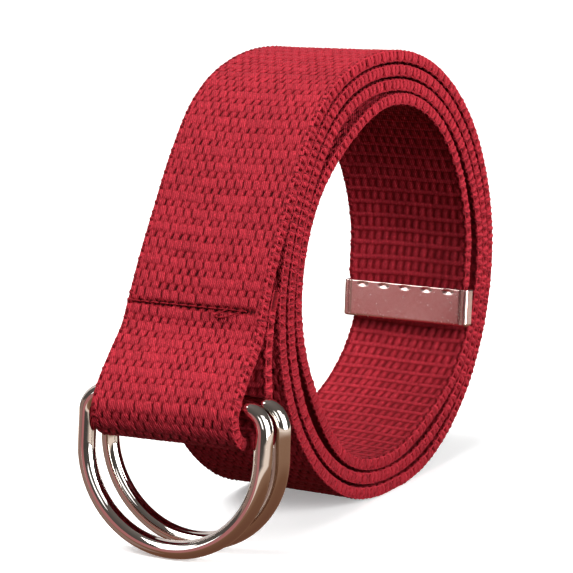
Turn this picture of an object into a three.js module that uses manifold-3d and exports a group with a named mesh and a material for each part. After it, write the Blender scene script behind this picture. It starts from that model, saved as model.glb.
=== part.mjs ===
// A canvas web belt with two D-rings, rolled up and stood on its edge.
// Millimetres, +Z up. X runs across the webbing, -Y is the front, where the loop and the rings hang.
// The origin is on the floor under the middle of the belt.
import * as THREE from 'three';
import { mergeVertices } from 'three/addons/utils/BufferGeometryUtils.js';
import Module from 'manifold-3d';

// Driving dimensions
const webbing = { width: 38, thickness: 3.1, edgeChamfer: 0.5 };
const rollCentre = { y: 9.6, z: 55.8 };
const turnStep = 6;             // degrees of the roll between two sections of the webbing
const hangStep = 2.2;           // length between two sections where the webbing hangs
const wire = { diameter: 4.4, sides: 12 };
const ring = { halfWidth: 23.5, cornerRadius: 5.3, height: 35.8, cornerSteps: 4, arcSteps: 24 };
const tip = {
  width: 39.2, thickness: 4.2, height: 10.5, wall: 0.5, base: 0.6, cornerRadius: 0.9, runningGap: 0.3,
  dents: 5, dentPitch: 6.8, dentRadius: 1.9, dentDepth: 0.28, dentDrop: 0.7,
};

// The roll: distance of the webbing's middle from the roll's centre, one row for each direction.
// Directions turn from the back (0) over the top (90) to the front (180) and the floor (270).
const roll = [
  { direction: 0, first: 48.0, second: 55.3, third: 58.8, fourth: 62.3 },
  { direction: 30, first: 48.3, second: 53.6, third: 57.4, fourth: 61.5 },
  { direction: 60, first: 48.8, second: 52.5, third: 56.2, fourth: 60.0 },
  { direction: 90, first: 48.3, second: 52.1, third: 55.8, fourth: 59.5 },
  { direction: 120, first: 46.8, second: 53.3, third: 57.3, fourth: 61.3 },
  { direction: 150, first: 48.7, second: 52.3, third: 55.9 },
  { direction: 180, first: 48.8, second: 52.6, third: 56.8 },
  { direction: 210, first: 46.4, second: 52.2, third: 56.4 },
  { direction: 240, first: 47.5, second: 51.5, third: 55.4 },
  { direction: 270, first: 46.8, second: 50.5, third: 54.4 },
  { direction: 300, first: 47.3, second: 52.4, third: 57.1 },
  { direction: 330, first: 52.8, second: 56.5, third: 60.1 },
];
const turnNames = ['first', 'second', 'third', 'fourth'];

// The belt's inner end: the middle of the webbing inside the tip, from its base to its mouth.
// Places beside the roll are given forward of the roll's centre and above it.
const innerEnd = [
  { name: 'tipBase', forward: -45.9, above: -18.9 },
  { name: 'tipMouth', forward: -46.7, above: -8.4 },
];

// The outer end: the webbing leaves the roll, hangs forward, turns round the rings' bars and comes
// back up behind itself as the sewn tail. It hangs twisted: its right edge is set back by so much.
const outerEnd = [
  { name: 'leavesRoll', forward: 39.3, above: 46.5, setBack: 0 },
  { name: 'upperHang', forward: 47.8, above: 35.4, setBack: 0 },
  { name: 'middleHang', forward: 54.7, above: 24.1, setBack: 0 },
  { name: 'overTail', forward: 61.0, above: 13.3, setBack: 0.1 },
  { name: 'seam', forward: 66.4, above: 2.8, setBack: 1.2 },
  { name: 'underSeam', forward: 69.4, above: -3.0, setBack: 2.2 },
  { name: 'loopFront', forward: 74.5, above: -8.7, setBack: 2.8 },
  { name: 'overFrontBar', forward: 79.3, above: -14.5, setBack: 3.3 },
  { name: 'loopNose', forward: 82.2, above: -20.0, setBack: 3.9 },
  { name: 'noseTurn', forward: 80.0, above: -25.2, setBack: 3.8 },
  { name: 'loopBottom', forward: 73.8, above: -26.8, setBack: 2.8 },
  { name: 'heelTurn', forward: 67.0, above: -25.0, setBack: 1.9 },
  { name: 'behindBackBar', forward: 64.4, above: -18.5, setBack: 1.4 },
  { name: 'loopBack', forward: 64.5, above: -11.5, setBack: 1.2 },
  { name: 'underTail', forward: 64.2, above: -5.0, setBack: 1.3 },
  { name: 'tailAtSeam', forward: 63.3, above: 1.2, setBack: 1.45 },
  { name: 'tailMiddle', forward: 61.6, above: 4.8, setBack: 1.0 },
  { name: 'tailEnd', forward: 60.2, above: 7.6, setBack: 0.7 },
];
const tailRound = [{ beyond: 0.7, share: 0.8 }, { beyond: 1.2, share: 0.45 }];

// Where the middle of each ring's bar hangs, how far the ring leans forward at the bottom, how far
// its bar dips to the right and how far its right side is turned back, in degrees
const rings = [
  { name: 'd_ring_front', across: -0.4, forward: 74.65, above: -17.85, lean: 4.9, dip: 1.1, turn: 5 },
  { name: 'd_ring_back', across: 0.9, forward: 68.3, above: -17.7, lean: 0, dip: 1.5, turn: 2.5 },
];

const degrees = Math.PI / 180;

// A place on the webbing's middle line: its Y, its Z and how far the right edge is set back there
function besideRoll({ forward, above, setBack = 0 }) {
  return new THREE.Vector3(rollCentre.y - forward, rollCentre.z + above, setBack);
}

function onRoll(direction, distance) {
  const angle = direction * degrees;
  return new THREE.Vector3(
    rollCentre.y + distance * Math.cos(angle),
    rollCentre.z + distance * Math.sin(angle),
    0,
  );
}

// Catmull-Rom value of the distance column between two rows
function easeBetween(rows, at) {
  let i = 0;
  while (i < rows.length - 2 && rows[i + 1].turn <= at) i += 1;
  const before = rows[Math.max(i - 1, 0)];
  const [low, high] = [rows[i], rows[i + 1]];
  const after = rows[Math.min(i + 2, rows.length - 1)];
  const span = high.turn - low.turn;
  const share = (at - low.turn) / span;
  const slopeLow = (high.distance - before.distance) / (high.turn - before.turn) * span;
  const slopeHigh = (after.distance - low.distance) / (after.turn - low.turn) * span;
  const [square, cube] = [share ** 2, share ** 3];
  return (2 * cube - 3 * square + 1) * low.distance + (cube - 2 * square + share) * slopeLow
    + (3 * square - 2 * cube) * high.distance + (cube - square) * slopeHigh;
}

// The middle line of the roll, turn after turn, pressed flat where it would go through the floor
function rollLine() {
  const rows = turnNames.flatMap((turnName, turn) => roll
    .filter((row) => row[turnName] !== undefined)
    .map((row) => ({ turn: row.direction + 360 * turn, distance: row[turnName] })));
  const last = rows[rows.length - 1].turn;
  const line = [];
  for (let turn = turnStep; turn <= last; turn += turnStep) {
    const point = onRoll(turn, easeBetween(rows, turn));
    point.y = Math.max(point.y, webbing.thickness / 2);
    line.push(point);
  }
  return line;
}

// A smooth line through a few places, cut into even steps
function smoothLine(places, step) {
  const curve = new THREE.CatmullRomCurve3(places, false, 'catmullrom');
  return curve.getSpacedPoints(Math.round(curve.getLength() / step));
}

// Joins rings of points into one closed solid. With wrap the last ring meets the first.
function skin(sections, wrap) {
  const sides = sections[0].length;
  const positions = sections.flat().flatMap((point) => point.toArray());
  const faces = [];
  const spans = wrap ? sections.length : sections.length - 1;
  for (let i = 0; i < spans; i += 1) {
    const [low, high] = [i * sides, ((i + 1) % sections.length) * sides];
    for (let j = 0; j < sides; j += 1) {
      const k = (j + 1) % sides;
      faces.push(low + j, low + k, high + k, low + j, high + k, high + j);
    }
  }
  if (!wrap) {
    const end = (sections.length - 1) * sides;
    for (let j = 1; j < sides - 1; j += 1) faces.push(0, j + 1, j, end, end + j, end + j + 1);
  }
  const geometry = new THREE.BufferGeometry();
  geometry.setAttribute('position', new THREE.Float32BufferAttribute(positions, 3));
  geometry.setIndex(faces);
  return geometry;
}

// One section of the webbing at a place on its middle line: a flat bar with chamfered selvedges
function webbingSection(point, tangent, width, thickness) {
  const [halfWidth, halfThickness] = [width / 2, thickness / 2];
  const chamfer = Math.min(webbing.edgeChamfer, halfThickness / 2);
  const corners = [
    [halfWidth, halfThickness - chamfer], [halfWidth - chamfer, halfThickness],
    [chamfer - halfWidth, halfThickness], [-halfWidth, halfThickness - chamfer],
    [-halfWidth, chamfer - halfThickness], [chamfer - halfWidth, -halfThickness],
    [halfWidth - chamfer, -halfThickness], [halfWidth, chamfer - halfThickness],
  ];
  return corners.map(([across, out]) => new THREE.Vector3(
    across,
    point.x + tangent.y * out + point.z * (across / width + 0.5),
    point.y - tangent.x * out,
  ));
}

function strapGeometry() {
  const inside = {
    width: tip.width - 2 * (tip.wall + tip.runningGap),
    thickness: tip.thickness - 2 * (tip.wall + tip.runningGap),
  };
  const [tipBase, tipMouth] = innerEnd.map(besideRoll);
  const up = tipMouth.clone().sub(tipBase).normalize();
  const start = tipBase.clone().addScaledVector(up, tip.base + tip.runningGap);
  const rolled = rollLine();
  const leaving = rolled.slice(-2);
  const hanging = smoothLine([...leaving, ...outerEnd.map(besideRoll)], hangStep)
    .filter((point) => point.distanceTo(leaving[0]) > leaving[0].distanceTo(leaving[1]) + hangStep / 2);
  const line = [start, tipMouth, ...rolled, ...hanging];
  const tangents = line.map((point, i) => line[Math.min(i + 1, line.length - 1)].clone()
    .sub(line[Math.max(i - 1, 0)]).setZ(0).normalize());
  tangents[0] = up;
  tangents[1] = up;
  const sections = line.map((point, i) => (i < 2
    ? webbingSection(point, tangents[i], inside.width, inside.thickness)
    : webbingSection(point, tangents[i], webbing.width, webbing.thickness)));
  const [end, along] = [line[line.length - 1], tangents[tangents.length - 1]];
  tailRound.forEach(({ beyond, share }) => sections.push(webbingSection(
    end.clone().addScaledVector(along, beyond), along, webbing.width, webbing.thickness * share,
  )));
  return skin(sections, false);
}

// The ring's middle line: a straight bar on the X axis, two corners and a half circle below it
function ringLine() {
  const { halfWidth, cornerRadius, height, cornerSteps, arcSteps } = ring;
  const corner = halfWidth - cornerRadius;
  const arcTop = halfWidth - height;
  const rightCorner = [];
  for (let i = 0; i <= cornerSteps; i += 1) {
    const angle = (90 - 90 * i / cornerSteps) * degrees;
    rightCorner.push([
      corner + cornerRadius * Math.cos(angle), cornerRadius * (Math.sin(angle) - 1),
    ]);
  }
  const arc = [];
  for (let i = 0; i <= arcSteps; i += 1) {
    const angle = 180 * i / arcSteps * degrees;
    arc.push([halfWidth * Math.cos(angle), arcTop - halfWidth * Math.sin(angle)]);
  }
  const leftCorner = rightCorner.map(([x, z]) => [-x, z]).reverse();
  return [...rightCorner, ...arc, ...leftCorner].map(([x, z]) => new THREE.Vector3(x, 0, z));
}

function ringGeometry() {
  const line = ringLine();
  const backward = new THREE.Vector3(0, 1, 0);
  const sections = line.map((point, i) => {
    const tangent = line[(i + 1) % line.length].clone()
      .sub(line[(i + line.length - 1) % line.length]).normalize();
    const outward = backward.clone().cross(tangent);
    return Array.from({ length: wire.sides }, (_, j) => {
      const angle = 2 * Math.PI * (j + 0.5) / wire.sides;
      return point.clone()
        .addScaledVector(outward, wire.diameter / 2 * Math.cos(angle))
        .addScaledVector(backward, wire.diameter / 2 * Math.sin(angle));
    });
  });
  return skin(sections, true);
}

const wasm = await Module();
wasm.setup();

function toSolid(geometry) {
  const bare = geometry.clone();
  bare.deleteAttribute('normal');
  bare.deleteAttribute('uv');
  const merged = mergeVertices(bare, 1e-4);
  return new wasm.Manifold(new wasm.Mesh({
    numProp: 3,
    vertProperties: new Float32Array(merged.attributes.position.array),
    triVerts: new Uint32Array(merged.index.array),
  }));
}

function fromSolid(solid) {
  const { vertProperties, triVerts } = solid.getMesh();
  const geometry = new THREE.BufferGeometry();
  geometry.setAttribute('position', new THREE.BufferAttribute(vertProperties, 3));
  geometry.setIndex(new THREE.BufferAttribute(triVerts, 1));
  return geometry;
}

// A block with rounded upright edges, standing on z = 0
function roundedBlock(width, depth, height, radius) {
  const [x, y] = [width / 2 - radius, depth / 2 - radius];
  const shape = new THREE.Shape();
  shape.absarc(x, y, radius, 0, Math.PI / 2, false);
  shape.absarc(-x, y, radius, Math.PI / 2, Math.PI, false);
  shape.absarc(-x, -y, radius, Math.PI, 1.5 * Math.PI, false);
  shape.absarc(x, -y, radius, 1.5 * Math.PI, 2 * Math.PI, false);
  return new THREE.ExtrudeGeometry(shape, { depth: height, bevelEnabled: false, curveSegments: 3 });
}

// The tip: a folded metal box, open at the top, with a row of crimp dents under its mouth
function tipGeometry() {
  const shell = toSolid(roundedBlock(tip.width, tip.thickness, tip.height, tip.cornerRadius));
  const pocket = toSolid(roundedBlock(
    tip.width - 2 * tip.wall, tip.thickness - 2 * tip.wall, tip.height, tip.cornerRadius - tip.wall,
  ).translate(0, 0, tip.base));
  let solid = shell.subtract(pocket);
  for (const side of [-1, 1]) {
    for (let i = 0; i < tip.dents; i += 1) {
      const across = (i - (tip.dents - 1) / 2) * tip.dentPitch;
      const dent = new THREE.SphereGeometry(tip.dentRadius, 12, 8).translate(
        across, side * (tip.thickness / 2 + tip.dentRadius - tip.dentDepth), tip.height - tip.dentDrop,
      );
      solid = solid.subtract(toSolid(dent));
    }
  }
  return fromSolid(solid);
}

const finishes = {
  canvas: { color: 0xa81f2f, roughness: 0.9, metalness: 0 },
  nickel: { color: 0xcfcac4, roughness: 0.12, metalness: 1 },
  tipMetal: { color: 0xc8c2bc, roughness: 0.25, metalness: 1 },
};

function named(name, geometry, finish) {
  const mesh = new THREE.Mesh(geometry, new THREE.MeshStandardMaterial(finishes[finish]));
  mesh.name = name;
  return mesh;
}

const belt = new THREE.Group();
belt.add(named('strap', strapGeometry(), 'canvas'));

for (const { name, across, lean, dip, turn, ...place } of rings) {
  const mesh = named(name, ringGeometry(), 'nickel');
  const bar = besideRoll(place);
  mesh.position.set(across, bar.x, bar.y);
  mesh.rotation.set(-lean * degrees, dip * degrees, turn * degrees, 'ZYX');
  belt.add(mesh);
}

const [tipBase, tipMouth] = innerEnd.map(besideRoll);
const endTip = named('end_tip', tipGeometry(), 'tipMetal');
endTip.position.set(0, tipBase.x, tipBase.y);
endTip.rotation.x = -Math.atan2(tipMouth.x - tipBase.x, tipMouth.y - tipBase.y);
belt.add(endTip);

export default belt;
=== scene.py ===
import math

import bmesh
import bpy
import numpy as np
from mathutils import Matrix, Vector


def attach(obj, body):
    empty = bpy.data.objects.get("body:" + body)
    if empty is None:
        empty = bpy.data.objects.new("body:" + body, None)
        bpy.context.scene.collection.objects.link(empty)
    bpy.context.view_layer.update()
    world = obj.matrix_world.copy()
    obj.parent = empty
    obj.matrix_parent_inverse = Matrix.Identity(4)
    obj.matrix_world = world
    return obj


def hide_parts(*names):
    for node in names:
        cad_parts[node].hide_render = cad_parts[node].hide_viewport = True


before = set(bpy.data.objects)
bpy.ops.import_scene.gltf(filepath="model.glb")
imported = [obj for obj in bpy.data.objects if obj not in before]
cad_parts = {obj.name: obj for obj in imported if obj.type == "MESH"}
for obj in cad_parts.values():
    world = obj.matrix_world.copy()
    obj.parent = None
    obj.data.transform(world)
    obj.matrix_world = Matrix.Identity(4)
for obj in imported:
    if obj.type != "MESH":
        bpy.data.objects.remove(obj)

# A rolled web belt: crimson cotton webbing, two nickel D-rings in its sewn loop and a crimped tip.
# X runs across the webbing and -Y is the front. Sizes are in millimetres and become metres in the mesh.
mm = 0.001
degrees = math.pi / 180
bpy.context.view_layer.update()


# Helpers for colours, nodes and meshes

def fromHex(text):
    channels = [int(text[i:i + 2], 16) / 255 for i in (1, 3, 5)]
    linear = [c / 12.92 if c <= 0.04045 else ((c + 0.055) / 1.055) ** 2.4 for c in channels]
    return (*linear, 1.0)


def addNode(material, kind, settings=None, links=None):
    # lower-case settings are the node's own, the others are its sockets
    tree = material.node_tree
    node = tree.nodes.new(kind)
    for key, value in (settings or {}).items():
        if isinstance(key, str) and key[0].islower():
            setattr(node, key, value)
        else:
            node.inputs[key].default_value = value
    for key, source in (links or {}).items():
        tree.links.new(source, node.inputs[key])
    return node


def fillRamp(node, stops):
    # stops are pairs of a place from 0 to 1 and a colour, in order
    elements = node.color_ramp.elements
    while len(elements) < len(stops):
        elements.new(0.5)
    for element, (place, colour) in zip(elements, stops):
        element.position = place
        element.color = fromHex(colour)


def newMaterial(name):
    material = bpy.data.materials.new(name)
    material.use_nodes = True
    material.node_tree.nodes.clear()
    return material


def gridFaces(count, around, closed=False):
    # quads round a row of sections, which runs back into its start or gets a cap at each end
    spans = count if closed else count - 1
    low = np.arange(spans)[:, None] * around
    high = (np.arange(spans)[:, None] + 1) % count * around
    j = np.arange(around)[None, :]
    k = (j + 1) % around
    faces = np.stack([low + j, low + k, high + k, high + j], axis=-1).reshape(-1, 4).tolist()
    if not closed:
        faces += [list(range(around))[::-1], list(range((count - 1) * around, count * around))]
    return faces


def joined(parts):
    points, faces, offset = [], [], 0
    for somePoints, someFaces in parts:
        points.append(somePoints)
        faces += [[i + offset for i in face] for face in someFaces]
        offset += len(somePoints)
    return np.vstack(points), faces


def meshPiece(name, points, faces, material, body, smooth=None, weaveAt=None, tone=None):
    mesh = bpy.data.meshes.new(name)
    mesh.from_pydata((np.asarray(points) * mm).tolist(), [], faces)
    flags = np.ones(len(mesh.polygons), bool) if smooth is None else smooth
    mesh.polygons.foreach_set("use_smooth", flags)
    if weaveAt is not None:
        mesh.attributes.new("weaveAt", "FLOAT_VECTOR", "POINT")
        mesh.attributes["weaveAt"].data.foreach_set("vector", np.asarray(weaveAt, np.float32).ravel())
    if tone is not None:
        mesh.attributes.new("tone", "FLOAT", "POINT")
        mesh.attributes["tone"].data.foreach_set("value", np.asarray(tone, np.float32).ravel())
    mesh.materials.append(material)
    mesh.update()
    piece = bpy.data.objects.new(name, mesh)
    bpy.context.collection.objects.link(piece)
    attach(piece, body)
    print(name, "triangles", sum(len(face) - 2 for face in faces))
    return piece


# Camera at the photograph's angle
camera = {
    "place": (0.2519, -0.4497, 0.1461), "azimuth": 30, "elevation": 10, "clip": (0.02, 60),
    "sensor": 36, "focalPixels": 2000, "imageWidth": 573,
}


def placeCamera():
    data = bpy.data.cameras.new("photoCamera")
    data.sensor_width = camera["sensor"]
    data.lens = camera["sensor"] * camera["focalPixels"] / camera["imageWidth"]
    data.clip_start, data.clip_end = camera["clip"]
    seen = bpy.data.objects.new("photoCamera", data)
    seen.location = camera["place"]
    seen.rotation_euler = ((90 - camera["elevation"]) * degrees, 0, camera["azimuth"] * degrees)
    bpy.context.collection.objects.link(seen)
    bpy.context.scene.camera = seen


# The webbing's own line, in the plane across X, from the tip to the sewn tail
webbing = {"width": 38.0, "thickness": 3.1}
rollCentre = {"y": 9.6, "z": 55.8}

# Distance of the webbing's middle from the roll's centre. Directions turn from the back (0) over
# the top (90) to the front (180) and the floor (270).
roll = [
    {"direction": 0, "turns": (48.0, 55.3, 58.8, 62.3)},
    {"direction": 30, "turns": (48.3, 53.6, 57.4, 61.5)},
    {"direction": 60, "turns": (48.8, 52.5, 56.2, 60.0)},
    {"direction": 90, "turns": (48.3, 52.1, 55.8, 59.5)},
    {"direction": 120, "turns": (46.8, 53.3, 57.3, 61.3)},
    {"direction": 150, "turns": (48.7, 52.3, 55.9)},
    {"direction": 180, "turns": (48.8, 52.6, 56.8)},
    {"direction": 210, "turns": (46.4, 52.2, 56.4)},
    {"direction": 240, "turns": (47.5, 51.5, 55.4)},
    {"direction": 270, "turns": (46.8, 50.5, 54.4)},
    {"direction": 300, "turns": (47.3, 52.4, 57.1)},
    {"direction": 330, "turns": (52.8, 56.5, 60.1)},
]

# Places beside the roll: forward of its centre, above it, and how far the right edge is set back
# there, because the outer end hangs twisted
innerEnd = {"tipBase": (-45.9, -18.9, 0), "tipMouth": (-46.7, -8.4, 0)}
outerEnd = {
    "leavesRoll": (39.3, 46.5, 0), "upperHang": (47.8, 35.4, 0), "middleHang": (54.7, 24.1, 0),
    "overTail": (61.0, 13.3, 0.1), "seam": (66.4, 2.8, 1.2), "underSeam": (69.4, -3.0, 2.2),
    "loopFront": (74.5, -8.7, 2.8), "overFrontBar": (79.3, -14.5, 3.3), "loopNose": (82.2, -20.0, 3.9),
    "noseTurn": (80.0, -25.2, 3.8), "loopBottom": (73.8, -26.8, 2.8), "heelTurn": (67.0, -25.0, 1.9),
    "behindBackBar": (64.4, -18.5, 1.4), "loopBack": (64.5, -11.5, 1.2), "underTail": (64.2, -5.0, 1.3),
    "tailAtSeam": (63.3, 1.2, 1.45), "tailMiddle": (61.6, 4.8, 1.0), "tailEnd": (60.2, 7.6, 0.7),
}


def besideRoll(place):
    forward, above, *setBack = place
    return np.array([rollCentre["y"] - forward, rollCentre["z"] + above, *setBack])


def easeBetween(turns, distances, at):
    # Catmull-Rom value between two rows of the roll's table
    i = int(np.clip(np.searchsorted(turns, at, side="right") - 1, 0, len(turns) - 2))
    before, after = max(i - 1, 0), min(i + 2, len(turns) - 1)
    span = turns[i + 1] - turns[i]
    t = (at - turns[i]) / span
    slopeLow = (distances[i + 1] - distances[before]) / (turns[i + 1] - turns[before]) * span
    slopeHigh = (distances[after] - distances[i]) / (turns[after] - turns[i]) * span
    return ((2 * t ** 3 - 3 * t ** 2 + 1) * distances[i] + (t ** 3 - 2 * t ** 2 + t) * slopeLow
            + (3 * t ** 2 - 2 * t ** 3) * distances[i + 1] + (t ** 3 - t ** 2) * slopeHigh)


def rollLine(firstTurn=6, step=1):
    rows = sorted((row["direction"] + 360 * turn, distance)
                  for row in roll for turn, distance in enumerate(row["turns"]))
    turns, distances = zip(*rows)
    at = np.arange(firstTurn, turns[-1] + step / 2, step)
    reach = np.array([easeBetween(turns, distances, a) for a in at])
    y = rollCentre["y"] + reach * np.cos(at * degrees)
    z = rollCentre["z"] + reach * np.sin(at * degrees)
    return at, np.stack([y, np.maximum(z, webbing["thickness"] / 2), 0 * y], axis=1)


def splineThrough(places, perSpan):
    # uniform Catmull-Rom through the places, carried straight on past both ends
    padded = np.vstack([2 * places[:1] - places[1:2], places, 2 * places[-1:] - places[-2:-1]])
    t = np.linspace(0, 1, perSpan, endpoint=False)[:, None]
    spans = []
    for a, b, c, d in zip(padded[:-3], padded[1:-2], padded[2:-1], padded[3:]):
        low, high = (c - a) / 2, (d - b) / 2
        spans.append((2 * b - 2 * c + low + high) * t ** 3
                     + (3 * c - 3 * b - 2 * low - high) * t ** 2 + low * t + b)
    return np.vstack([*spans, places[-1:]])


def lengthAlong(line):
    return np.concatenate([[0], np.cumsum(np.linalg.norm(np.diff(line[:, :2], axis=0), axis=1))])


def eased(line, reach, step):
    # rounds off corners shorter than reach, and keeps both ends where they are
    half = int(round(3 * reach / step))
    weights = np.exp(-0.5 * (np.arange(-half, half + 1) * step / reach) ** 2)
    weights /= weights.sum()
    before = 2 * line[0] - line[half:0:-1]
    after = 2 * line[-1] - line[-2:-half - 2:-1]
    full = np.vstack([before, line, after])
    return np.stack([np.convolve(column, weights, mode="valid") for column in full.T], axis=1)


def beltLine(step=0.2, baseInside=0.9, rounding=0.9, leadIn=6, perSpan=24):
    # the straight end in the tip, the roll, and the hanging end that sets out as the roll's last
    # degrees run
    tipBase, tipMouth = besideRoll(innerEnd["tipBase"]), besideRoll(innerEnd["tipMouth"])
    up = (tipMouth - tipBase) / np.linalg.norm(tipMouth - tipBase)
    at, rolled = rollLine()
    leaving = rolled[[-1 - leadIn, -1]]
    places = np.vstack([leaving, [besideRoll(p) for p in outerEnd.values()]])
    hanging = splineThrough(places, perSpan)[perSpan:]
    raw = np.vstack([tipBase + baseInside * up, tipMouth, rolled[:-1], hanging])
    along = lengthAlong(raw)
    even = np.arange(0, along[-1], step)
    line = np.stack([np.interp(even, along, column) for column in raw.T], axis=1)
    line = eased(line, rounding, step)
    length = lengthAlong(line)
    forward = np.gradient(line[:, :2], length, axis=0)
    forward /= np.linalg.norm(forward, axis=1)[:, None]
    return {
        "length": length, "line": line, "forward": forward, "total": length[-1],
        "turns": at, "turnLength": along[2:2 + len(at)], "mouth": along[1],
    }


belt = beltLine()


def atTurn(turn):
    return float(np.interp(turn, belt["turns"], belt["turnLength"]))


def nearest(place, pastTurn=1190):
    # how far along the belt a place beside the roll lies, on its outer end
    away = np.linalg.norm((belt["line"] - besideRoll(place))[:, :2], axis=1)
    away[belt["length"] < atTurn(pastTurn)] = np.inf
    return float(belt["length"][int(np.argmin(away))])


def onBelt(along, across, out):
    # point of the belt at a length along it, across it, and out from its middle
    y, z, setBack = (np.interp(along, belt["length"], column) for column in belt["line"].T)
    ty, tz = (np.interp(along, belt["length"], column) for column in belt["forward"].T)
    size = np.hypot(ty, tz)
    back = setBack * (across / webbing["width"] + 0.5)
    return np.stack([across + 0 * along, y + tz / size * out + back, z - ty / size * out], axis=-1)


print("belt line", round(belt["total"], 1), "mm")


# The weave: rows of plump floats with slanted gaps between them, and rows of flatter floats set
# half a pitch aside. The shares say where in a row or a column the mesh has its lines.
weave = {
    "period": 4.2, "pitch": 2.4, "columns": 15, "gapDepth": 0.62, "innerFloor": 0.2,
    "jitter": 0.07, "lengthJitter": 0.05, "topJitter": 0.035, "sway": 0.13, "wander": 0.28,
    "valleyHalf": 0.45, "valleyJitter": 0.5, "divePower": 2.3, "crownPower": 2.4,
    "peepHighlightOdds": 0.3, "peepHighlightEdge": 0.9, "peepHighlightHalf": 0.5,
    "rowShares": (0, 0.11, 0.19, 0.24, 0.36, 0.5, 0.64, 0.76, 0.81, 0.9), "rowMargin": 0.15,
    "columnShares": (-0.5, -0.42, -0.28, -0.14, 0, 0.14, 0.28, 0.42),
    "coarseShares": (-0.5, -0.36, -0.2, 0, 0.2, 0.36),
    "plainDrop": 0.3, "plainColumns": 10, "plainStep": 1.4,
}
wovenHalf = weave["columns"] * weave["pitch"] / 2

# The crown is the round part of a float, over its base. A float has round ends, and dives under the
# rows before and after it. The outer face comes first, with its plump and its flat rows, and then the
# inner one, where the flat rows are thin ridges and the floats between them stand apart.
# fleck is a painted highlight on the weft that peeps out beside a float
floats = [
    [
        {"halfLength": 1.2, "halfWidth": 1.14, "crown": 0.56, "base": 0.0, "taper": 0.07, "split": 0.14,
         "round": 0.12, "diveBefore": 0.32, "diveAfter": 0.24, "steep": 0.6, "fleck": 0.0},
        {"halfLength": 1.22, "halfWidth": 1.2, "crown": 0.36, "base": 0.26, "taper": 0.0, "split": 0.25,
         "round": 0.24, "diveBefore": 0.16, "diveAfter": 0.1, "steep": 1.4, "fleck": 6.0},
    ],
    [
        {"halfLength": 1.5, "halfWidth": 0.93, "crown": 0.38, "base": 0.1, "taper": 0.1, "split": 0.1,
         "round": 0.5, "diveBefore": 0.1, "diveAfter": 0.2, "steep": 0.5, "fleck": 0.0},
        {"halfLength": 0.66, "halfWidth": 1.5, "crown": 0.28, "base": 0.26, "taper": 0.0, "split": 0.4,
         "round": 0.3, "diveBefore": 0.1, "diveAfter": 0.14, "steep": 0.7, "fleck": 0.0},
    ],
]
totalRows = int(belt["total"] / weave["period"]) + 3
chance = np.random.default_rng(7)
jitter = chance.normal(0, 1, (2, 2, totalRows, weave["columns"] + 3, 4)).clip(-2, 2)


def floatRow(along, across, inner, kind):
    # height of one kind of float over the bottom of the gaps, and a tone for each float
    form = floats[inner][kind]
    shift = 0.5 * kind
    row = np.floor(along / weave["period"] + 0.5 - shift).astype(int)
    column = np.floor(across / weave["pitch"] + 0.5 - shift).astype(int)
    odds = jitter[inner, kind, np.clip(row, 0, totalRows - 1), column + weave["columns"] // 2 + 1]
    # v runs along the float from -1 to 1, and u out from its middle to 1 at its side
    v = along - (row + shift) * weave["period"] - weave["lengthJitter"] * odds[..., 1]
    v = v / form["halfLength"]
    u = across - (column + shift) * weave["pitch"]
    u = u / (form["halfWidth"] * (1 + weave["jitter"] * odds[..., 0]))
    u = np.abs(u * (1 + form["taper"] * v))
    # two yarns lie side by side in a float, with a slight valley between them
    split = form["split"] * (1 + weave["valleyJitter"] * odds[..., 2])
    valley = 1 - split * np.clip(1 - u / weave["valleyHalf"], 0, 1)
    v = v * (1 + form["round"] * np.minimum(u, 1) ** 2)
    dive = np.where(v < 0, form["diveBefore"], form["diveAfter"]) * np.abs(v) ** weave["divePower"]
    dive = dive + form["steep"] * np.clip(np.abs(v) - 1, 0, None)
    crown = form["crown"] * np.sqrt(np.clip(1 - u ** weave["crownPower"], 0, 1)) * valley
    height = form["base"] + crown - dive
    height = np.where(u > 1, 0, height + weave["topJitter"] * odds[..., 2])
    # weft yarn that peeps out beside a flat float gets a painted highlight
    peeps = (u > weave["peepHighlightEdge"]) * (np.abs(v) < weave["peepHighlightHalf"])
    fleck = form["fleck"] * np.clip(odds[..., 1] + weave["peepHighlightOdds"], 0, 1) * peeps
    return height, odds[..., 3] + fleck


def weaveDrop(along, across, inner):
    # how far the face lies under the top of the floats. The inner face is half a period further on,
    # and its gaps have a floor.
    shifted = along + inner * weave["period"] / 2
    long, longTone = floatRow(shifted, across, inner, 0)
    short, shortTone = floatRow(shifted, across, inner, 1)
    height = np.maximum(np.maximum(long, short), inner * weave["innerFloor"])
    tone = np.where(long >= short, longTone, shortTone)
    return np.clip(weave["gapDepth"] - height, 0, weave["gapDepth"]), tone


def sway(along, across):
    # floats lean one way in one row and the other way in the next, and run straight at the selvedges
    lean = np.sin(2 * math.pi * along / weave["period"])
    return -weave["sway"] * lean * (1 - np.clip(np.abs(across) / wovenHalf, 0, 1) ** 6)


def wander(along, across):
    # the rows don't run quite straight across the belt. The waves' lengths in millimetres have no
    # common measure, so the rows never wander twice alike.
    slow = np.sin(along / 23.0) + 0.6 * np.sin(along / 9.1 + 1.3)
    return weave["wander"] * (slow * np.sin(across / 11.0 + along / 61.0)
                              + 0.7 * np.cos(across / 6.3 + along / 37.0))


# The seam across the hanging end, which goes through the tail behind it
seam = {
    "at": nearest(outerEnd["seam"]), "tailAt": nearest(outerEnd["tailAtSeam"]),
    "from": -17.6, "to": 16.2, "overrun": 0.5, "stitch": 2.65, "stitchGap": 0.04, "stitchPoints": 9,
    "grooveHalf": 0.6, "grooveDepth": 0.32, "holeRadius": 0.5, "holeDepth": 0.6,
    "threadRadius": 0.22, "threadSides": 8, "threadShade": 0.34, "sunk": 0.22, "sag": 0.55,
    "looseShare": 0.85, "looseSunk": 0.35, "yarnSpread": 0.4,
}


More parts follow.
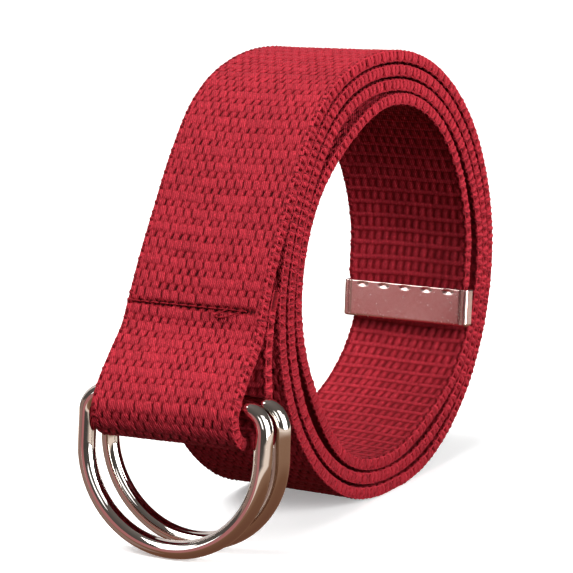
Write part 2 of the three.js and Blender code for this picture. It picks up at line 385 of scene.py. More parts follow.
def seamDrop(along, across):
    # the stitches pull a groove into the webbing, with a needle hole at the end of each
    drop = np.zeros(np.broadcast(along, across).shape)
    inside = (across > seam["from"] - seam["overrun"]) & (across < seam["to"] + seam["overrun"])
    hole = (across - seam["from"] + seam["stitch"] / 2) % seam["stitch"] - seam["stitch"] / 2
    for at in (seam["at"], seam["tailAt"]):
        off = along - at
        groove = seam["grooveDepth"] * np.exp(-(off / seam["grooveHalf"]) ** 2)
        hit = np.exp(-(off ** 2 + hole ** 2) / seam["holeRadius"] ** 2)
        drop += np.where(inside, groove + seam["holeDepth"] * hit, 0)
    return drop


# The webbing is pressed thinner and narrower inside the tip, and rounds off at the tail's end
pressed = {
    "easesInside": 0.4, "easesOver": 3.0, "thinner": 0.22, "narrower": 0.02, "thinnest": 0.12,
    "tailRound": 1.6, "tailRows": 6,
}
tailTurn = belt["total"] - pressed["tailRound"]


def squeeze(along):
    # the shares of the thickness and of the width that are left
    inTip = 1 - np.clip((along - belt["mouth"] + pressed["easesInside"]) / pressed["easesOver"], 0, 1)
    inTip = inTip * inTip * (3 - 2 * inTip)
    past = np.clip((along - tailTurn) / (belt["total"] - tailTurn), 0, 1)
    thin = (1 - pressed["thinner"] * inTip) * np.sqrt(np.clip(1 - past ** 2, 0, 1))
    return np.maximum(thin, pressed["thinnest"]), 1 - pressed["narrower"] * inTip


def faceColumns(shares):
    # a face without shares is hidden and plain
    if not shares:
        return np.linspace(-wovenHalf, wovenHalf, weave["plainColumns"])
    middle = (weave["columns"] - 1) / 2
    within = np.array(weave[shares])
    columns = [(k - middle + within) * weave["pitch"] for k in range(weave["columns"])]
    return np.append(np.concatenate(columns), wovenHalf)


def pieceRows(start, end, shares):
    if not shares:
        return np.linspace(start, end, max(2, int((end - start) / weave["plainStep"])))
    first = int(start / weave["period"]) - 1
    rows = [(k + share) * weave["period"] for k in range(first, totalRows) for share in weave["rowShares"]]
    rows = [row for row in rows if start + weave["rowMargin"] < row < end - weave["rowMargin"]]
    rows = np.array([start, *rows, end])
    if end > tailTurn:
        rounded = np.linspace(tailTurn, belt["total"], pressed["tailRows"])
        rows = np.concatenate([rows[rows < tailTurn], rounded])
    return rows


def faceGrid(rows, inner, shares, thin, narrow):
    # one face of the webbing: where its points lie along, across and out, how deep and in what tone
    outward = -1 if inner else 1
    across = faceColumns(shares)[::-outward] + 0 * rows
    along = rows + wander(rows, across)
    if shares:
        depth, tone = weaveDrop(rows, across, inner)
        if not inner:
            # the seam's groove and needle holes lie deeper, and the ramp paints them darker as painted shade
            depth = depth + seamDrop(along, across)
        across = across + outward * sway(rows + inner * weave["period"] / 2, across)
    else:
        depth, tone = np.full(across.shape, weave["plainDrop"]), np.zeros(across.shape)
    out = outward * (webbing["thickness"] / 2 - depth) * thin
    return along, across * narrow, out, depth, tone


# The edge from a face to the middle of the thickness: how far it stands past the last column, its
# share of the half thickness, and how much painted shade it gets. It is a recess, and the selvedge's strands
# fill it.
edgeRecess = [
    {"past": 0.4, "share": 0.92, "paintedRecessShade": 0.1}, {"past": 0.55, "share": 0.78, "paintedRecessShade": 0.25},
    {"past": 0.2, "share": 0.5, "paintedRecessShade": 0.45}, {"past": 0.0, "share": 0.2, "paintedRecessShade": 0.55},
]


def edgeGrid(rows, side, thin, narrow):
    # the left edge (-1) runs from the outer face to the inner one, and the right edge (1) back
    upper = np.array([[row["past"], row["share"], row["paintedRecessShade"]] for row in edgeRecess])
    lower = upper[::-1] * (1, -1, 1)
    past, share, paintedRecessShade = np.vstack([upper, lower]).T
    across = side * (wovenHalf + past) * narrow
    out = -side * share * webbing["thickness"] / 2 * thin
    # the recess's painted shade goes where the weave's depth goes, and the ramp darkens it
    return rows + wander(rows, across), across, out, paintedRecessShade + 0 * across, np.zeros(across.shape)


def webbingPiece(name, start, end, outer, inner, material):
    rows = pieceRows(start, end, outer or inner)[:, None]
    thin, narrow = squeeze(rows)
    parts = [
        faceGrid(rows, 0, outer, thin, narrow), edgeGrid(rows, -1, thin, narrow),
        faceGrid(rows, 1, inner, thin, narrow), edgeGrid(rows, 1, thin, narrow),
    ]
    along, across, out, depth, tone = (np.concatenate(grids, axis=1) for grids in zip(*parts))
    along = np.clip(along, start, end)
    along[0], along[-1] = start, end
    points = onBelt(along, across, out)
    weaveAt = np.stack([across, along, depth], axis=-1)
    faces = gridFaces(*across.shape)
    smooth = np.ones(len(faces), bool)
    smooth[-2:] = False                                    # the two caps
    piece = meshPiece(name, points.reshape(-1, 3), faces, material, "belt",
                      smooth, weaveAt.reshape(-1, 3), tone.reshape(-1))
    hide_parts("strap")


# Dyed cotton webbing: woven from soft matt yarns of three plies. The eye gets rounded crimson
# floats with fine ply lines and fuzz, a faint pink bloom at grazing angles, and dark red gaps, whose
# darkness is painted shade.
# A real fibre is about 0.02 mm thick, too fine to show, so the fuzz and the lint are drawn as tufts.
cotton = {
    # the dye's colour at a float's top, then painted shade that darkens it down into the gaps
    "dyeAndPaintedShade": ((0.25, "#a42733"), (0.6, "#7a0f19"), (0.95, "#3a0408")),    # from a float's top to the gap
    "bloom": "#ffa0aa", "brightness": 0.29, "toneSpread": 0.05,
    "plyWidth": 0.5, "plyDepth": 0.12, "plyHighlightAndShade": 0.14, "webbingSlant": 28, "cordSlant": 32,
    "fibreWidth": 0.36, "fibreDepth": 0.17, "fibreLift": 1.0,
    "fleckWidth": 0.3, "fleckFrom": 0.56, "fleckTo": 0.72, "fleckLift": 0.45,
    "patchWidth": 100 / 9, "patchLift": 0.2,    # nine faded patches to 100 mm of webbing
}
waveBand = 0.314         # width of one band of the wave texture at a scale of 1


def cottonMaterial(name, plySlant):
    made = newMaterial(name)
    place = addNode(made, "ShaderNodeAttribute", {"attribute_name": "weaveAt"})
    tone = addNode(made, "ShaderNodeAttribute", {"attribute_name": "tone"})
    parts = addNode(made, "ShaderNodeSeparateXYZ", links={0: place.outputs["Vector"]})
    depth = addNode(made, "ShaderNodeMapRange", {"From Min": 0.0, "From Max": weave["gapDepth"]},
                    {"Value": parts.outputs["Z"]})
    # painted shade: the deeper the face lies, the darker the ramp paints it
    dyeAndPaintedShade = addNode(made, "ShaderNodeValToRGB", links={"Fac": depth.outputs[0]})
    fillRamp(dyeAndPaintedShade, cotton["dyeAndPaintedShade"])
    turned = addNode(made, "ShaderNodeMapping", {"Rotation": (0, 0, plySlant * degrees)},
                     {"Vector": place.outputs["Vector"]})
    ply = addNode(made, "ShaderNodeTexWave", {
        "bands_direction": "X", "Scale": waveBand / cotton["plyWidth"], "Distortion": 1.6,
        "Detail": 2.0, "Detail Scale": 2.2,
    }, {"Vector": turned.outputs[0]})
    stretched = addNode(made, "ShaderNodeMapping", {"Scale": (1, 0.5, 1)},
                        {"Vector": turned.outputs[0]})
    fibre = addNode(made, "ShaderNodeTexNoise", {"Scale": 1 / cotton["fibreWidth"], "Detail": 3},
                    {"Vector": stretched.outputs[0]})
    patch = addNode(made, "ShaderNodeTexNoise", {"Scale": 1 / cotton["patchWidth"], "Detail": 2},
                    {"Vector": place.outputs["Vector"]})
    lint = addNode(made, "ShaderNodeTexNoise", {"Scale": 1 / cotton["fleckWidth"], "Detail": 1},
                   {"Vector": stretched.outputs[0]})
    fleck = addNode(made, "ShaderNodeMapRange", {
        "From Min": cotton["fleckFrom"], "From Max": cotton["fleckTo"],
        "To Min": 0.0, "To Max": cotton["fleckLift"],
    }, {"Value": lint.outputs["Fac"]})
    # brightness sums each float's own tone and the painted highlight of peeping weft, fibres, the plies'
    # painted highlight and shade, lint and faded patches
    bright = addNode(made, "ShaderNodeMath", {
        "operation": "MULTIPLY_ADD", 1: cotton["toneSpread"], 2: cotton["brightness"],
    }, {0: tone.outputs["Fac"]})
    # the plies' crests get painted highlight and their grooves painted shade, along with their bump
    lifts = (
        (fibre.outputs["Fac"], cotton["fibreLift"]), (ply.outputs["Fac"], cotton["plyHighlightAndShade"]),
        (fleck.outputs[0], 1.0), (patch.outputs["Fac"], cotton["patchLift"]),
    )
    for source, lift in lifts:
        bright = addNode(made, "ShaderNodeMath", {"operation": "MULTIPLY_ADD", 1: lift},
                         {0: source, 2: bright.outputs[0]})
    tinted = addNode(made, "ShaderNodeHueSaturation",
                     links={"Value": bright.outputs[0], "Color": dyeAndPaintedShade.outputs["Color"]})
    plyBump = addNode(made, "ShaderNodeBump", {"Strength": 0.8, "Distance": cotton["plyDepth"] * mm},
                      {"Height": ply.outputs["Fac"]})
    fibreBump = addNode(made, "ShaderNodeBump", {"Strength": 0.8, "Distance": cotton["fibreDepth"] * mm},
                        {"Height": fibre.outputs["Fac"], "Normal": plyBump.outputs["Normal"]})
    surface = addNode(made, "ShaderNodeBsdfPrincipled", {
        "Roughness": 0.7, "Specular IOR Level": 0.07, "Sheen Weight": 0.03, "Sheen Roughness": 0.4,
        "Sheen Tint": fromHex(cotton["bloom"]),
    }, {"Base Color": tinted.outputs["Color"], "Normal": fibreBump.outputs["Normal"]})
    addNode(made, "ShaderNodeOutputMaterial", links={"Surface": surface.outputs[0]})
    return made


webbingCotton = cottonMaterial("wovenCottonWebbing", cotton["webbingSlant"])
cordCotton = cottonMaterial("twistedCottonCord", cotton["cordSlant"])

# Lengths along the belt where one piece of the webbing ends and the next begins
splits = {
    "innerEnd": 0.0, "gapOpens": atTurn(84), "gapCloses": atTurn(156), "innerFaceHides": atTurn(346),
    "outerFaceShows": atTurn(836), "floor": atTurn(990), "leaves": atTurn(1196), "tail": belt["total"],
}
# Each piece has the shares of its outer and its inner face, or none on a face that is hidden
webbingPieces = [
    {"name": "webbing_inner_turn_back", "from": "innerEnd", "to": "gapOpens",
     "outer": None, "inner": "coarseShares"},
    {"name": "webbing_inner_turn_top", "from": "gapOpens", "to": "gapCloses",
     "outer": "coarseShares", "inner": "coarseShares"},
    {"name": "webbing_inner_turn_front", "from": "gapCloses", "to": "innerFaceHides",
     "outer": None, "inner": "coarseShares"},
    {"name": "webbing_middle_turns", "from": "innerFaceHides", "to": "outerFaceShows",
     "outer": None, "inner": None},
    {"name": "webbing_outer_turn_front", "from": "outerFaceShows", "to": "floor",
     "outer": "columnShares", "inner": None},
    {"name": "webbing_outer_turn_back", "from": "floor", "to": "leaves",
     "outer": "columnShares", "inner": None},
    {"name": "webbing_hanging_end", "from": "leaves", "to": "tail",
     "outer": "columnShares", "inner": "coarseShares"},
]


def weaveWebbing():
    for row in webbingPieces:
        webbingPiece(row["name"], splits[row["from"]], splits[row["to"]], row["outer"], row["inner"],
                     webbingCotton)


def tube(line, radius, sides, reference, closed=False):
    # round cord, thread or wire. The reference direction keeps its section from turning.
    line = np.asarray(line, float)
    if closed:
        tangent = np.roll(line, -1, axis=0) - np.roll(line, 1, axis=0)
    else:
        tangent = np.gradient(line, axis=0)
    tangent /= np.linalg.norm(tangent, axis=1)[:, None]
    first = reference - (tangent @ reference)[:, None] * tangent
    first /= np.linalg.norm(first, axis=1)[:, None]
    second = np.cross(tangent, first)
    angle = 2 * math.pi * np.arange(sides) / sides
    radius = np.broadcast_to(radius, len(line))[:, None, None]
    circle = (first[:, None, :] * np.cos(angle)[None, :, None]
              + second[:, None, :] * np.sin(angle)[None, :, None]) * radius
    points = line[:, None, :] + circle
    return points.reshape(-1, 3), gridFaces(len(line), sides, closed)


# The selvedges: the weft turns back over the edge in plump strands, two to each pair of rows, that
# bow apart in the middle and draw together at the faces, most at the inner one
selvedge = {
    "pitch": weave["period"], "firstPair": 0.8, "endMargin": 2.4,
    "halfLength": 1.48, "strandRadius": 0.94, "taper": 0.96, "centre": 17.66, "bulge": 0.44,
    "lean": 0.24, "bow": 0.42, "pairHalf": 0.98, "endShade": 0.12, "valleyShade": 0.42,
    "steps": 9, "sides": 8, "jitter": 0.06, "drift": 0.13, "yarnShift": 6, "slack": 0.1,
}
strandChance = np.random.default_rng(11)


def selvedgeStrands(name, side):
    count = 2 * int((belt["total"] - selvedge["endMargin"]) / selvedge["pitch"])
    t = np.sin(np.linspace(-0.5, 0.5, selvedge["steps"]) * math.pi)
    plump = np.sqrt(1 - (selvedge["taper"] * t) ** 4)
    around = np.arange(selvedge["sides"]) * 2 * math.pi / selvedge["sides"]
    # painted shade: darker at each strand's ends and on its sides that face the next strands
    shade = (selvedge["endShade"] * t[:, None] ** 4
             + selvedge["valleyShade"] * np.sin(around)[None, :] ** 2).clip(0, weave["gapDepth"])
    parts, weaveAt, tones = [], [], []
    for i in range(count):
        odds = strandChance.normal(0, 1, 4).clip(-2, 2)
        toward = 1 if i % 2 == 0 else -1
        along = (i // 2 + selvedge["firstPair"]) * selvedge["pitch"] - toward * selvedge["pairHalf"]
        along = along + selvedge["drift"] * odds[0]
        along = along + toward * (selvedge["lean"] * t + selvedge["bow"] * t ** 2)
        thin, narrow = squeeze(along)
        across = side * (selvedge["centre"] + selvedge["bulge"] * (1 - t ** 2)) * narrow
        line = onBelt(along, across, -selvedge["halfLength"] * t * thin)
        radius = selvedge["strandRadius"] * plump * (1 + selvedge["jitter"] * odds[1])
        radius = radius * np.minimum(1, thin + selvedge["slack"])
        parts.append(tube(line, radius, selvedge["sides"], np.array([1.0, 0, 0])))
        yarnAt = selvedge["yarnShift"] * i + around * selvedge["strandRadius"]
        weaveAt.append(np.stack([
            np.broadcast_to(yarnAt, shade.shape),
            np.broadcast_to((selvedge["halfLength"] * t)[:, None], shade.shape),
            shade,
        ], axis=-1).reshape(-1, 3))
        tones.append(np.full(shade.size, odds[3]))
    points, faces = joined(parts)
    points[:, 2] = np.maximum(points[:, 2], 0)             # pressed flat where the belt stands
    piece = meshPiece(name, points, faces, cordCotton, "belt", None, np.vstack(weaveAt),
                      np.concatenate(tones))
    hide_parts("strap")


# The loose end of the seam's thread: across the belt, below the seam and off the face
looseEnd = [
    {"across": 9.5, "below": -0.3, "lift": 0.5}, {"across": 8.0, "below": 1.0, "lift": 0.7},
    {"across": 6.2, "below": 1.9, "lift": 0.6}, {"across": 8.2, "below": 2.2, "lift": 0.6},
    {"across": 10.6, "below": 1.5, "lift": 0.7}, {"across": 12.4, "below": 0.6, "lift": 0.5},
    {"across": 13.6, "below": -0.2, "lift": 0.3},
]


def seamStitches(reference=(0, 0.6, 0.8)):
    # lockstitches on the front of the webbing and on its tail, and the loose end
    parts = []
    face = webbing["thickness"] / 2
    count = int((seam["to"] - seam["from"]) / seam["stitch"])
    t = np.linspace(0, 1, seam["stitchPoints"])
    out = face - seam["sunk"] - seam["sag"] * (1 - np.sqrt(np.clip(1 - (2 * t - 1) ** 4, 0, 1)))
    within = seam["stitchGap"] + (1 - 2 * seam["stitchGap"]) * t
    for at in (seam["at"], seam["tailAt"]):
        for i in range(count):
            line = onBelt(at, seam["from"] + (i + within) * seam["stitch"], out)
            parts.append(tube(line, seam["threadRadius"], seam["threadSides"], np.array(reference)))
    places = np.array([[row["across"], row["below"], row["lift"]] for row in looseEnd])
    across, below, lift = splineThrough(places, 8).T
    line = onBelt(seam["at"] + below, across, face + lift - seam["looseSunk"])
    looseRadius = seam["threadRadius"] * seam["looseShare"]
    parts.append(tube(line, looseRadius, seam["threadSides"], np.array(reference)))
    points, faces = joined(parts)
    shade = np.full(len(points), seam["threadShade"])
    weaveAt = np.stack([points[:, 0] * seam["yarnSpread"], points[:, 2], shade], axis=-1)
    piece = meshPiece("seam_stitches", points, faces, cordCotton, "belt", None, weaveAt,
                      np.zeros(len(points)))
    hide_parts("strap")


# The D-rings: a straight bar, two corners and a half circle of one wire
ring = {
    "halfWidth": 23.5, "cornerRadius": 5.3, "height": 35.8, "wireRadius": 2.2,
    "cornerSteps": 12, "legSteps": 3, "arcSteps": 96, "barSteps": 19, "sides": 36,
}
# Where the middle of the bar hangs, and in degrees how far the ring leans forward at the bottom, dips
# to the right and is turned back on its right side
rings = [
    {"name": "d_ring_front", "body": "front_ring", "across": -0.4, "place": (74.65, -17.85),
     "lean": 4.9, "dip": 1.1, "turn": 5},
    {"name": "d_ring_back", "body": "back_ring", "across": 0.9, "place": (68.3, -17.7),
     "lean": 0, "dip": 1.5, "turn": 2.5},
]


def ringLine():
    half, corner = ring["halfWidth"], ring["halfWidth"] - ring["cornerRadius"]
    bend = np.linspace(90, 0, ring["cornerSteps"] + 1) * degrees
    right = np.stack([corner + ring["cornerRadius"] * np.cos(bend),
                      ring["cornerRadius"] * (np.sin(bend) - 1)], axis=1)
    legTop, legEnd = -ring["cornerRadius"], half - ring["height"]
    leg = np.array([[half, z] for z in np.linspace(legTop, legEnd, ring["legSteps"] + 1)[1:-1]])
    sweep = np.linspace(0, 180, ring["arcSteps"] + 1) * degrees
    arc = np.stack([half * np.cos(sweep), legEnd - half * np.sin(sweep)], axis=1)
    bar = np.array([[x, 0.0] for x in np.linspace(-corner, corner, ring["barSteps"] + 1)[1:-1]])
    mirror = np.array([-1, 1])
    flat = np.vstack([right, leg, arc, (leg * mirror)[::-1], (right * mirror)[::-1], bar])
    return np.stack([flat[:, 0], np.zeros(len(flat)), flat[:, 1]], axis=1)


def dRing(row, material):
    points, faces = tube(ringLine(), ring["wireRadius"], ring["sides"], np.array([0.0, 1.0, 0.0]),
                         closed=True)
    turn = (Matrix.Rotation(row["turn"] * degrees, 3, "Z") @ Matrix.Rotation(row["dip"] * degrees, 3, "Y")
            @ Matrix.Rotation(-row["lean"] * degrees, 3, "X"))
    bar = besideRoll(row["place"])
    points = points @ np.array(turn).T + np.array([row["across"], bar[0], bar[1]])
    piece = meshPiece(row["name"] + "_wire", points, faces, material, row["body"])
    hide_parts(row["name"])


# Polished nickel plate on steel wire: barrelled and bright. The eye gets crisp white streaks of
# the lights beside dark bands, slightly warm, with the faintest ripple.
nickelPlate = {"colour": "#ddd7d1", "roughness": 0.045, "rippleWidth": 6.0, "rippleDepth": 0.015}

# Stamped nickel-plated sheet: bright but less flat, so the reflections of the webbing break up.
# its pink tint is painted reflection of the crimson webbing over the nickel's own pale colour
stampedPlate = {"colour": "#dbbdb9", "roughness": 0.24, "rippleWidth": 3.5, "rippleDepth": 0.02}

# Handling dulls the plate in small patches. Real ones are finer, and would not show.
wear = {"width": 1.2, "from": 0.35, "to": 0.75, "bright": 0.9, "dull": 1.2}


def nickelMaterial(name, finish):
    made = newMaterial(name)
    place = addNode(made, "ShaderNodeTexCoord")
    ripple = addNode(made, "ShaderNodeTexNoise", {"Scale": 1 / (finish["rippleWidth"] * mm), "Detail": 1},
                     {"Vector": place.outputs["Object"]})
    patches = addNode(made, "ShaderNodeTexNoise", {"Scale": 1 / (wear["width"] * mm), "Detail": 4},
                      {"Vector": place.outputs["Object"]})
    gloss = addNode(made, "ShaderNodeMapRange", {
        "From Min": wear["from"], "From Max": wear["to"],
        "To Min": finish["roughness"] * wear["bright"], "To Max": finish["roughness"] * wear["dull"],
    }, {"Value": patches.outputs["Fac"]})
    bump = addNode(made, "ShaderNodeBump", {"Strength": 1.0, "Distance": finish["rippleDepth"] * mm},
                   {"Height": ripple.outputs["Fac"]})
    surface = addNode(made, "ShaderNodeBsdfPrincipled", {
        "Base Color": fromHex(finish["colour"]), "Metallic": 1.0,
    }, {"Roughness": gloss.outputs[0], "Normal": bump.outputs["Normal"]})
    addNode(made, "ShaderNodeOutputMaterial", links={"Surface": surface.outputs[0]})
    return made


# The tip: a folded sheet box crimped on the belt's inner end, with a row of dimples at its mouth
tip = {
    "width": 39.2, "thickness": 4.2, "height": 10.5, "wall": 0.5, "cornerRadius": 0.9, "leastRadius": 0.15,
    "baseRound": 0.8, "baseSteps": 5, "rimSteps": 6, "cornerSteps": 5, "step": 0.3,
    "rimMargin": 0.2, "insideTop": 0.5, "insideFloor": 1.0, "insideStep": 1.5,
    "dimples": 5, "dimplePitch": 6.8, "dimpleHalfWidth": 1.9, "dimpleHalfHeight": 0.8,
    "dimpleDrop": 0.85, "dimpleDepth": 0.34, "dimplePower": 1.3, "foldAt": 17.7, "foldHalf": 0.3,
    "foldDepth": 0.18, "waveDepth": 0.05, "waveWidth": 4.3, "plainEnd": 1.0,
}


def tipOutline(inset):
    # rounded rectangle, the same count of points for any inset
    radius = max(tip["cornerRadius"] - inset, tip["leastRadius"])
    x, y = tip["width"] / 2 - inset - radius, tip["thickness"] / 2 - inset - radius
    corners = np.array([(x, y), (-x, y), (-x, -y), (x, -y)])
    wallFaces = np.array([(0, 1), (-1, 0), (0, -1), (1, 0)])      # outward, for the wall after each corner
    wallSteps = (int(tip["width"] / tip["step"]), int(tip["thickness"] / tip["step"] / 2)) * 2
    points = []
    for i, corner in enumerate(corners):
        angle = np.linspace(90 * i, 90 * i + 90, tip["cornerSteps"] + 1) * degrees
        points.append(corner + radius * np.stack([np.cos(angle), np.sin(angle)], axis=1))
        start = corner + radius * wallFaces[i]
        end = corners[(i + 1) % 4] + radius * wallFaces[i]
        t = np.linspace(0, 1, wallSteps[i] + 1)[1:-1, None]
        points.append(start + (end - start) * t)
    return np.vstack(points)


def dimpled(flat, height):
    # pushes the wall in where a crimp dimple lies
    points = flat.copy()
    centre = tip["height"] - tip["dimpleDrop"]
    push = np.zeros(len(points))
    for i in range(tip["dimples"]):
        across = (i - (tip["dimples"] - 1) / 2) * tip["dimplePitch"]
        away = (((points[:, 0] - across) / tip["dimpleHalfWidth"]) ** 2
                + ((height - centre) / tip["dimpleHalfHeight"]) ** 2)
        push += tip["dimpleDepth"] * np.clip(1 - away, 0, 1) ** tip["dimplePower"]
    # the stamped sheet isn't quite flat
    wave = np.sin(points[:, 0] / tip["waveWidth"] + 1) * np.sin(height / tip["height"] * math.pi)
    push += tip["waveDepth"] * wave
    # its fold shows as a fine groove near each end
    push += tip["foldDepth"] * np.exp(-((np.abs(points[:, 0]) - tip["foldAt"]) / tip["foldHalf"]) ** 2)
    points[:, 1] -= np.sign(points[:, 1]) * push * (np.abs(points[:, 0]) < tip["width"] / 2 - tip["plainEnd"])
    return points


def tipSections():
    # inset, height and whether dented, up the outside, over the rolled rim and down the inside
    sections = []
    for turn in np.linspace(0, math.pi / 2, tip["baseSteps"] + 1)[:-1]:
        inset = tip["baseRound"] * (1 - math.sin(turn))
        sections.append((inset, tip["baseRound"] * (1 - math.cos(turn)), False))
    for height in np.arange(tip["baseRound"], tip["height"] - tip["rimMargin"], tip["step"]):
        sections.append((0.0, height, True))
    rim = tip["wall"] / 2
    for turn in np.linspace(0, math.pi, tip["rimSteps"] + 1):
        height = tip["height"] - rim + rim * math.sin(turn)
        sections.append((rim - rim * math.cos(turn), height, True))
    below = tip["height"] - rim - tip["insideTop"]
    for height in np.arange(below, tip["insideFloor"], -tip["insideStep"]):
        sections.append((tip["wall"], height, False))
    return sections


def endTip(material):
    points = []
    for inset, height, dented in tipSections():
        flat = tipOutline(inset)
        flat = dimpled(flat, height) if dented else flat
        points.append(np.column_stack([flat, np.full(len(flat), height)]))
    faces = gridFaces(len(points), len(points[0]))
    base, mouth = besideRoll(innerEnd["tipBase"]), besideRoll(innerEnd["tipMouth"])
    lean = -math.atan2(mouth[0] - base[0], mouth[1] - base[1])
    turn = np.array(Matrix.Rotation(lean, 3, "X"))
    points = np.vstack(points) @ turn.T + np.array([0, base[0], base[1]])
    piece = meshPiece("end_tip_plate", points, faces, material, "belt")
    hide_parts("end_tip")


# Studio: a pale floor and backdrop, broad daylight from above, a soft key from the upper left and a
# fill from the right
studio = {
    "floorHalf": 9.0, "floorColour": "#ffffff", "floorGlow": 0.3, "backdropRadius": 8.5,
    "surroundStrength": 0.28, "lampTarget": (0, 0, 0.06),
    "sunStrength": 2.65, "sunAngle": 45, "sunTilt": (16, -14, 0),
}
# the surround's light, with the place from straight down (0) to straight up (1)
surround = [
    (0.0, "#4a3327"), (0.40, "#8a6a55"), (0.49, "#4d423c"), (0.52, "#3a3836"), (0.66, "#7d7b7a"),
    (0.85, "#f2f2f2"),
]
softboxes = [
    {"name": "keySoftbox", "place": (-0.55, -0.9, 1.0), "size": 0.7, "power": 7.4},
    {"name": "fillSoftbox", "place": (1.3, -0.16, 0.34), "size": 1.0, "power": 38},
]
# What polished metal reflects and cloth doesn't: brown below, a pale rim, a dark room, and bright
# cards at an angle round from +X, an angle up, and half their width and height in degrees
room = {"radius": 2.4, "cardShare": 0.75, "centre": (0, -0.06, 0.04), "strength": 1.25}
roomBands = [
    {"up": -90, "colour": "#684536"}, {"up": -30, "colour": "#72503d"}, {"up": -15, "colour": "#8a6a56"},
    {"up": -13, "colour": "#e8d8cc"}, {"up": -9, "colour": "#e8d8cc"}, {"up": -7, "colour": "#46423f"},
    {"up": 30, "colour": "#56514e"}, {"up": 90, "colour": "#6a6461"},
]
cards = [
    {"name": "rightWindow", "round": -16, "up": 22, "half": (17, 26), "colour": "#ffffff",
     "strength": 3.0},
    {"name": "cameraSideWindow", "round": -68, "up": 17, "half": (7, 12), "colour": "#ffffff",
     "strength": 2.2},
    {"name": "leftWindow", "round": -120, "up": 26, "half": (9, 18), "colour": "#ffffff",
     "strength": 2.6},
    {"name": "pinkCard", "round": -114, "up": -7, "half": (15, 13), "colour": "#c88283",
     "strength": 0.88},
    {"name": "palePinkCard", "round": -158, "up": -22, "half": (26, 28), "colour": "#c4a196",
     "strength": 0.6},
    {"name": "backWindow", "round": 150, "up": 30, "half": (28, 28), "colour": "#fff4f2",
     "strength": 0.8},
]


def addStage(thing, seen, reflected):
    # stage that gives no light and no shadow
    thing.visible_camera = seen
    thing.visible_glossy = reflected
    thing.visible_diffuse = False
    thing.visible_shadow = False
    bpy.context.collection.objects.link(thing)


def roundWall(name, radius, material):
    walls = bpy.data.meshes.new(name)
    shape = bmesh.new()
    bmesh.ops.create_uvsphere(shape, u_segments=48, v_segments=24, radius=radius)
    shape.to_mesh(walls)
    shape.free()
    walls.materials.append(material)
    return bpy.data.objects.new(name, walls)


def flatSheet(name, x, y, material):
    # a rectangle that reaches x and y from its middle, facing up
    sheet = bpy.data.meshes.new(name)
    sheet.from_pydata([(-x, -y, 0), (x, -y, 0), (x, y, 0), (-x, y, 0)], [], [(0, 1, 2, 3)])
    sheet.materials.append(material)
    return bpy.data.objects.new(name, sheet)


def glowMaterial(name, colour, strength):
    made = newMaterial(name)
    glow = addNode(made, "ShaderNodeEmission", {"Color": fromHex(colour), "Strength": strength})
    addNode(made, "ShaderNodeOutputMaterial", links={"Surface": glow.outputs[0]})
    return made, glow


def bandsByHeight(material, place, reach, stops):
    # colours in level bands, from -reach to reach
    height = addNode(material, "ShaderNodeSeparateXYZ", links={0: place})
    share = addNode(material, "ShaderNodeMapRange", {"From Min": -reach, "From Max": reach},
                    {"Value": height.outputs["Z"]})
    bands = addNode(material, "ShaderNodeValToRGB", links={"Fac": share.outputs[0]})
    fillRamp(bands, stops)
    return bands.outputs["Color"]


def reflectedRoom():
    centre = Vector(room["centre"])
    paint, glow = glowMaterial("roomAround", "#ffffff", room["strength"])
    place = addNode(paint, "ShaderNodeTexCoord")
    stops = [((math.sin(row["up"] * degrees) + 1) / 2, row["colour"]) for row in roomBands]
    bands = bandsByHeight(paint, place.outputs["Object"], room["radius"], stops)
    paint.node_tree.links.new(bands, glow.inputs["Color"])
    around = roundWall("room_walls", room["radius"], paint)
    around.location = centre
    addStage(around, seen=False, reflected=True)

    for row in cards:
        turn, up = row["round"] * degrees, row["up"] * degrees
        toward = Vector((math.cos(turn) * math.cos(up), math.sin(turn) * math.cos(up), math.sin(up)))
        far = room["radius"] * room["cardShare"]
        x, y = (far * math.tan(half * degrees) for half in row["half"])
        card = flatSheet(row["name"], x, y, glowMaterial(row["name"], row["colour"], row["strength"])[0])
        card.location = centre + toward * far
        card.rotation_euler = (-toward).to_track_quat("-Z", "Y").to_euler()
        addStage(card, seen=False, reflected=True)


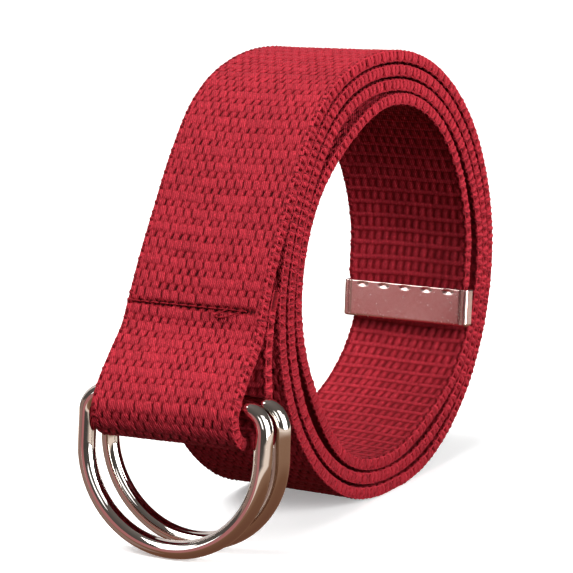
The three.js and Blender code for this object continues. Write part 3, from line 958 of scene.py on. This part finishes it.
def paleFloor():
    paint = newMaterial("paleFloorPaint")
    surface = addNode(paint, "ShaderNodeBsdfPrincipled", {
        "Base Color": fromHex(studio["floorColour"]), "Roughness": 0.9, "Specular IOR Level": 0.2,
        "Emission Color": fromHex(studio["floorColour"]), "Emission Strength": studio["floorGlow"],
    })
    addNode(paint, "ShaderNodeOutputMaterial", links={"Surface": surface.outputs[0]})
    floor = flatSheet("studio_floor", studio["floorHalf"], studio["floorHalf"], paint)
    floor.visible_diffuse = False        # the pale floor shows, but throws no light up into the roll
    floor.visible_glossy = False
    bpy.context.collection.objects.link(floor)
    glow = glowMaterial("paleBackdrop", "#ffffff", 1.0)[0]
    addStage(roundWall("pale_backdrop", studio["backdropRadius"], glow), seen=True, reflected=False)


def surroundLight():
    world = bpy.data.worlds.new("studioSurround")
    bpy.context.scene.world = world
    world.use_nodes = True
    world.node_tree.nodes.clear()
    around = addNode(world, "ShaderNodeTexCoord")
    bands = bandsByHeight(world, around.outputs["Generated"], 1.0, surround)
    glow = addNode(world, "ShaderNodeBackground", {"Strength": studio["surroundStrength"]},
                   {"Color": bands})
    addNode(world, "ShaderNodeOutputWorld", links={"Surface": glow.outputs[0]})


def studioLamps():
    target = Vector(studio["lampTarget"])
    for box in softboxes:
        data = bpy.data.lights.new(box["name"], "AREA")
        data.shape = "SQUARE"
        data.size = box["size"]
        data.energy = box["power"]
        lamp = bpy.data.objects.new(box["name"], data)
        lamp.location = box["place"]
        lamp.rotation_euler = (target - lamp.location).to_track_quat("-Z", "Y").to_euler()
        bpy.context.collection.objects.link(lamp)
    data = bpy.data.lights.new("broadDaylight", "SUN")
    data.energy = studio["sunStrength"]
    data.angle = studio["sunAngle"] * degrees
    lamp = bpy.data.objects.new("broadDaylight", data)
    lamp.rotation_euler = [angle * degrees for angle in studio["sunTilt"]]
    bpy.context.collection.objects.link(lamp)


bpy.context.scene.view_settings.view_transform = "Standard"      # keeps the crimson as it is dyed
placeCamera()
weaveWebbing()
for side, name in ((1, "selvedge_right"), (-1, "selvedge_left")):
    selvedgeStrands(name, side)
seamStitches()
ringNickel = nickelMaterial("polishedNickelPlate", nickelPlate)
for row in rings:
    dRing(row, ringNickel)
endTip(nickelMaterial("stampedNickelPlate", stampedPlate))
print("pieces in place")
paleFloor()
surroundLight()
reflectedRoom()
studioLamps()
print("studio in place")
